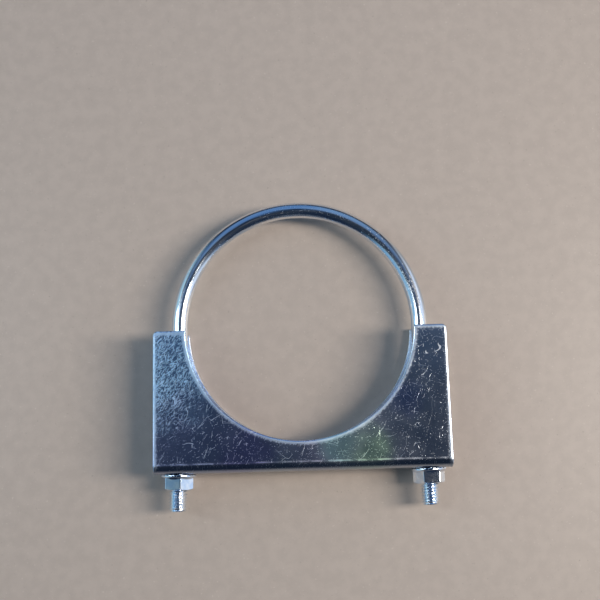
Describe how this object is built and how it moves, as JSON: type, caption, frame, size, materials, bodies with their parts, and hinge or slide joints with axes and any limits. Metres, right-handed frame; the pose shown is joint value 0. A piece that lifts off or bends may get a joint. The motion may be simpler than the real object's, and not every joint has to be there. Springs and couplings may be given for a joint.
{
  "type": "exhaust u-bolt clamp",
  "caption": "Exhaust pipe clamp: a bent round bar with threaded legs passes through a bent-plate saddle with a half-round cradle, and flange nuts draw them together round a pipe.",
  "frame": {"origin": "on the axis of the clamped pipe, halfway through the width of the saddle", "axes": "+Z along the pipe axis and up, square to the surface the clamp lies on; +Y from the nuts to the crown of the bent bar; +X to the right leg"},
  "size_m": [0.1496, 0.1572, 0.026],
  "materials": {
    "bar_zinc": "bright blue-white zinc plate on drawn bar, with fine scuffs along its length",
    "plate_zinc": "bright clear zinc plate on cold-rolled sheet, with a faint iridescent film and dense fine handling scratches",
    "nut_zinc": "bright blue-white zinc plate on cold-formed steel"
  },
  "bodies": {
    "saddle": {"saddle": "plate_zinc"},
    "u_bolt": {"u_bolt": "bar_zinc"},
    "flange_nut_left": {"flange_nut_left": "nut_zinc"},
    "flange_nut_right": {"flange_nut_right": "nut_zinc"}
  },
  "joints": [
    {"name": "left_nut_spin", "type": "hinge", "parent": "saddle", "child": "flange_nut_left", "pos_m": [-0.0634, -0.0727, 0], "axis": [0.0244, 0.9997, 0], "range_deg": [-2161, 1441]},
    {"name": "right_nut_spin", "type": "hinge", "parent": "saddle", "child": "flange_nut_right", "pos_m": [0.0634, -0.0727, 0], "axis": [-0.0244, 0.9997, 0], "range_deg": [-2161, 1441]},
    {"name": "u_bolt_draw", "type": "slide", "parent": "saddle", "child": "u_bolt", "axis": [0, -1, 0], "range_m": [-0.00953, 0.00635]}
  ],
  "couplings": [
    {"joint": "left_nut_spin", "follows": "u_bolt_draw", "rad_per_m": 3957.9},
    {"joint": "right_nut_spin", "follows": "u_bolt_draw", "rad_per_m": 3957.9}
  ]
}
